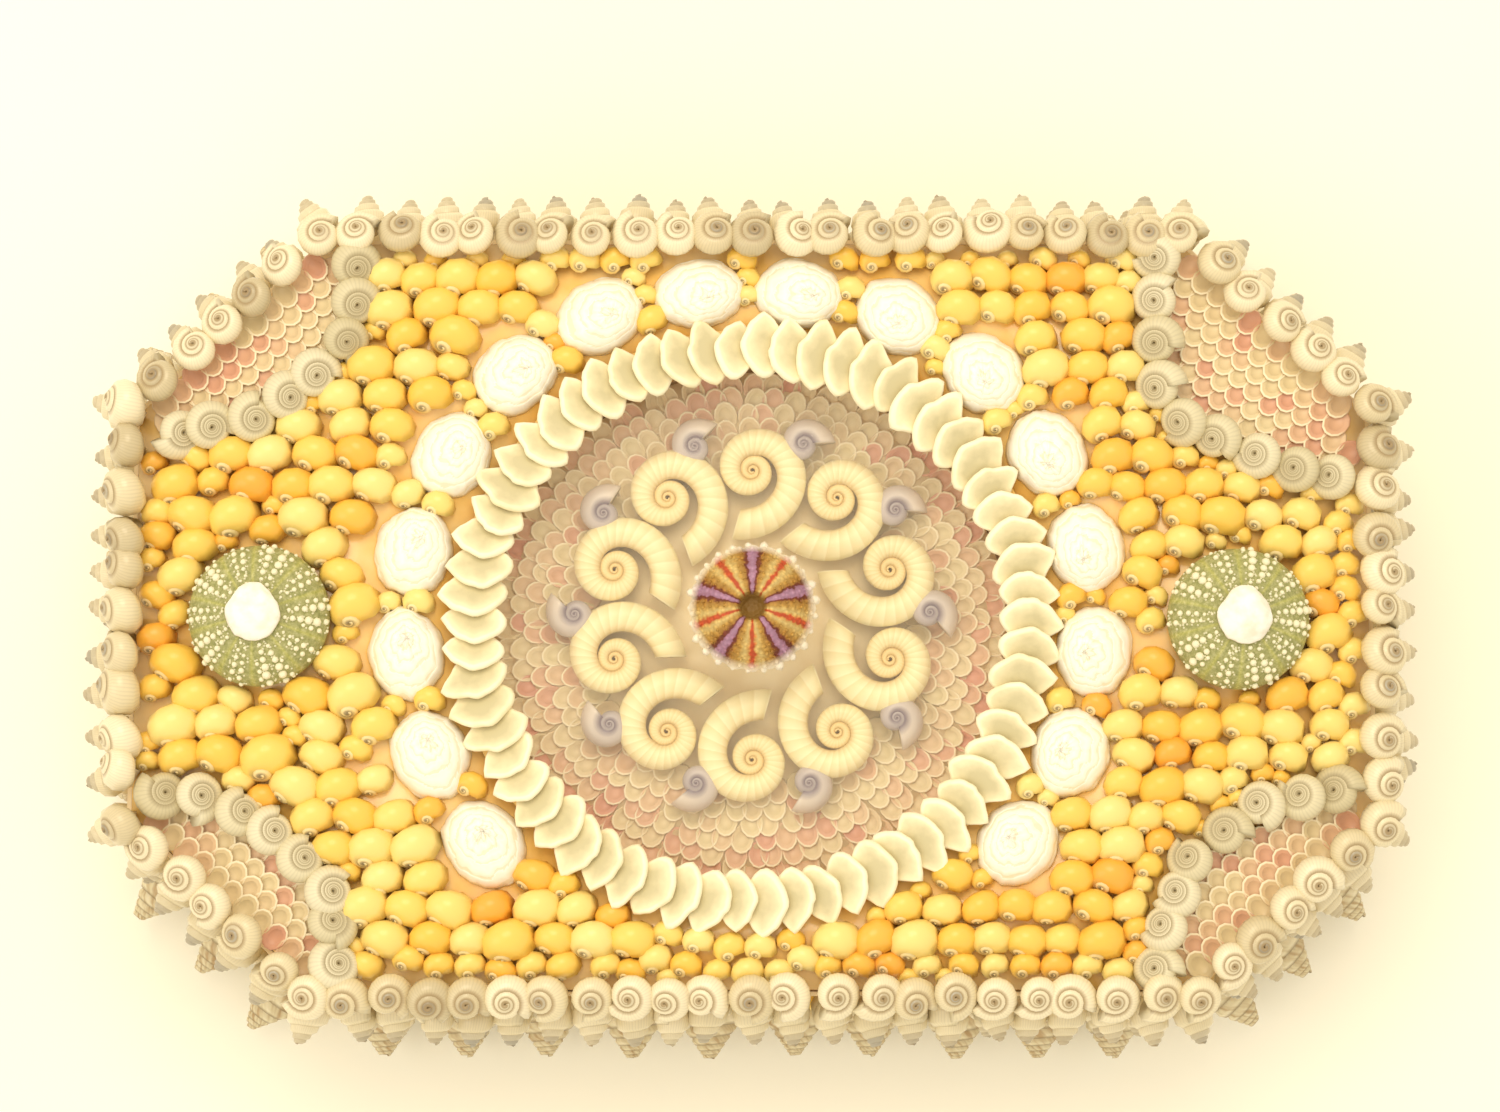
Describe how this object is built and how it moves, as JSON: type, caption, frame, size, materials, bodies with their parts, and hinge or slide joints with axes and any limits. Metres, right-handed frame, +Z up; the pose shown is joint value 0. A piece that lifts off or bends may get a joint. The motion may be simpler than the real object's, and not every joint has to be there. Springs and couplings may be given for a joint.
{
  "type": "shell box",
  "caption": "Long eight-sided wooden keepsake box covered with seashells, with a lift-off lid, a domed round window and a sea urchin knob.",
  "frame": {"origin": "middle of the underside, on the surface that the box stands on", "axes": "+X along the box's length, +Y across it towards the long side that is uppermost in the picture, +Z up through the lid"},
  "size_m": [0.327, 0.215, 0.0899],
  "materials": {
    "wood": "plain varnished softwood",
    "board": "bare thin board",
    "glass": "clear domed glass",
    "yellow_shell": "glossy yellow periwinkle shells in amber glue",
    "pearl_shell": "small pearly top shells",
    "white_shell": "white wrinkled mother-of-pearl shells",
    "grey_button": "grey button shells",
    "pink_scale": "salmon pink scale shells",
    "plate": "cream shell plates",
    "horn_shell": "ram's horn shells",
    "violet_snail": "lilac grey snail shells",
    "green_urchin": "green sea urchin test with pale beads",
    "knob_urchin": "cream and purple sea urchin test",
    "striped_shell": "large beige top shells with brown streaks"
  },
  "bodies": {
    "root": {"tray": "wood", "lid_board": "wood", "window_back": "board", "window_scales": "pink_scale", "glass_dome": "glass", "urchin_knob": "knob_urchin", "plate_ring": "plate", "green_urchin_left": "green_urchin", "green_urchin_right": "green_urchin", "limpet_left": "white_shell", "limpet_right": "white_shell", "rim_row": "pearl_shell", "lid_edge_row": "pearl_shell", "tray_side_courses": "yellow_shell", "foot_row": "striped_shell", "yellow_field": "yellow_shell", "spirula_01": "horn_shell", "violet_snail_01": "violet_snail", "spirula_02": "horn_shell", "violet_snail_02": "violet_snail", "spirula_03": "horn_shell", "violet_snail_03": "violet_snail", "spirula_04": "horn_shell", "violet_snail_04": "violet_snail", "spirula_05": "horn_shell", "violet_snail_05": "violet_snail", "spirula_06": "horn_shell", "violet_snail_06": "violet_snail", "spirula_07": "horn_shell", "violet_snail_07": "violet_snail", "spirula_08": "horn_shell", "violet_snail_08": "violet_snail", "spirula_09": "horn_shell", "violet_snail_09": "violet_snail", "spirula_10": "horn_shell", "violet_snail_10": "violet_snail", "white_shell_01": "white_shell", "white_shell_02": "white_shell", "white_shell_03": "white_shell", "white_shell_04": "white_shell", "white_shell_05": "white_shell", "white_shell_06": "white_shell", "white_shell_07": "white_shell", "white_shell_08": "white_shell", "white_shell_09": "white_shell", "white_shell_10": "white_shell", "white_shell_11": "white_shell", "white_shell_12": "white_shell", "white_shell_13": "white_shell", "white_shell_14": "white_shell", "white_shell_15": "white_shell", "white_shell_16": "white_shell", "button_row_back_right": "grey_button", "pink_panel_back_right": "pink_scale", "button_row_back_left": "grey_button", "pink_panel_back_left": "pink_scale", "button_row_front_left": "grey_button", "pink_panel_front_left": "pink_scale", "button_row_front_right": "grey_button", "pink_panel_front_right": "pink_scale"}
  },
  "joints": []
}
